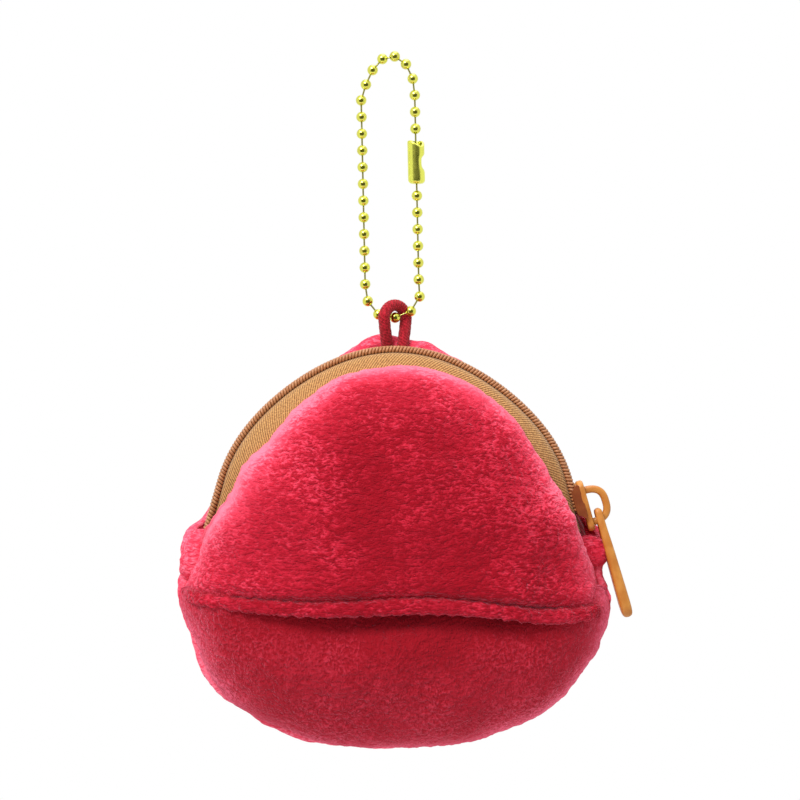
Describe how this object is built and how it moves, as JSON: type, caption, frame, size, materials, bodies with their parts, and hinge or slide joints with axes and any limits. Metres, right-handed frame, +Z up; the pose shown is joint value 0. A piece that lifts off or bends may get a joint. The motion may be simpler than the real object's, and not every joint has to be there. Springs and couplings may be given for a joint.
{
  "type": "plush coin purse",
  "caption": "Domed plush coin purse with an arched coil zip, a cord hang loop and a closed ball chain that it hangs from.",
  "frame": {"origin": "the hang point, inside the top of the chain loop, where a hook or key ring carries it", "axes": "+Z up along the hanging chain, the front of the purse faces -Y, the closed zip's slider is at +X"},
  "size_m": [0.101, 0.0476, 0.1552],
  "materials": {
    "plush": "matte",
    "wadding": "matte",
    "lining": "matte",
    "tape": "matte",
    "cord": "matte",
    "coil": "satin",
    "slider": "satin",
    "chain": "satin"
  },
  "bodies": {
    "chain_top": {"bead_04": "chain", "bead_05": "chain", "bead_06": "chain", "bead_07": "chain", "bead_08": "chain", "bead_09": "chain", "bead_10": "chain"},
    "left_strand": {"bead_11": "chain", "bead_12": "chain", "bead_13": "chain", "bead_14": "chain", "bead_15": "chain", "bead_16": "chain", "bead_17": "chain", "bead_18": "chain", "bead_19": "chain", "bead_20": "chain", "bead_21": "chain"},
    "right_strand": {"bead_01": "chain", "bead_02": "chain", "bead_03": "chain", "bead_29": "chain", "bead_30": "chain", "bead_31": "chain", "bead_32": "chain", "bead_33": "chain", "bead_34": "chain"},
    "connector": {"chain_connector": "chain"},
    "chain_bottom": {"bead_22": "chain", "bead_23": "chain", "bead_24": "chain", "bead_26": "chain", "bead_27": "chain", "bead_28": "chain"},
    "chain_lowest": {"bead_25": "chain"},
    "purse": {"front_panel_fold": "plush", "front_hem": "plush", "front_panel_lower": "plush", "front_wadding": "wadding", "front_lining": "lining", "back_panel": "plush", "back_wadding": "wadding", "back_lining": "lining", "end_tab_left": "plush", "end_tab_right": "plush", "back_tape": "tape", "back_coil": "coil", "hang_loop": "cord"},
    "lid": {"front_panel_dome": "plush", "front_tape": "tape", "front_coil": "coil"},
    "slider": {"slider_body": "slider", "slider_bridge": "slider"},
    "pull": {"pull_tab": "slider"}
  },
  "joints": [
    {"name": "chain_sway", "type": "hinge", "parent": "chain_top", "child": "left_strand", "pos_m": [-0.006, 0.00063, -0.00855], "axis": [0.1045, 0.9945, 0], "range_deg": [-20, 20]},
    {"name": "right_strand_sway", "type": "hinge", "parent": "chain_top", "child": "right_strand", "pos_m": [0.006, -0.00063, -0.00752], "axis": [0.1045, 0.9945, 0], "range_deg": [-20, 20]},
    {"name": "chain_bottom_level", "type": "hinge", "parent": "left_strand", "child": "chain_bottom", "pos_m": [-0.0051, 0.00054, -0.04979], "axis": [0.1045, 0.9945, 0], "range_deg": [-20, 20]},
    {"name": "connector_swivel", "type": "hinge", "parent": "right_strand", "child": "connector", "pos_m": [0.00632, -0.00067, -0.02252], "axis": [-0.0217, 0.0023, 0.9998], "continuous": true},
    {"name": "purse_nod", "type": "hinge", "parent": "chain_bottom", "child": "chain_lowest", "pos_m": [0.00159, -0.00017, -0.05727], "axis": [1, 0, 0], "range_deg": [-25, 25]},
    {"name": "purse_swing", "type": "hinge", "parent": "chain_lowest", "child": "purse", "pos_m": [0.00159, -0.00017, -0.05727], "axis": [0, 1, 0], "range_deg": [-20, 20], "deforming": ["hang_loop"]},
    {"name": "mouth_open", "type": "hinge", "parent": "purse", "child": "lid", "pos_m": [0.00159, -0.01167, -0.10472], "axis": [1, 0, 0], "range_deg": [0, 40], "deforming": ["front_panel_fold", "front_wadding", "front_lining", "front_tape", "front_coil"]},
    {"name": "slider_travel", "type": "hinge", "parent": "purse", "child": "slider", "pos_m": [0.00159, -0.00517, -0.10472], "axis": [0, -1, 0], "range_deg": [0, 156], "deforming": ["back_tape", "back_coil"]},
    {"name": "pull_swing", "type": "hinge", "parent": "slider", "child": "pull", "pos_m": [0.04663, -0.00517, -0.10034], "axis": [0, -1, 0], "range_deg": [0, 150]}
  ],
  "couplings": [
    {"joint": "right_strand_sway", "follows": "chain_sway", "ratio": 1},
    {"joint": "chain_bottom_level", "follows": "chain_sway", "ratio": -1},
    {"joint": "slider_travel", "follows": "mouth_open", "ratio": 3.9}
  ]
}
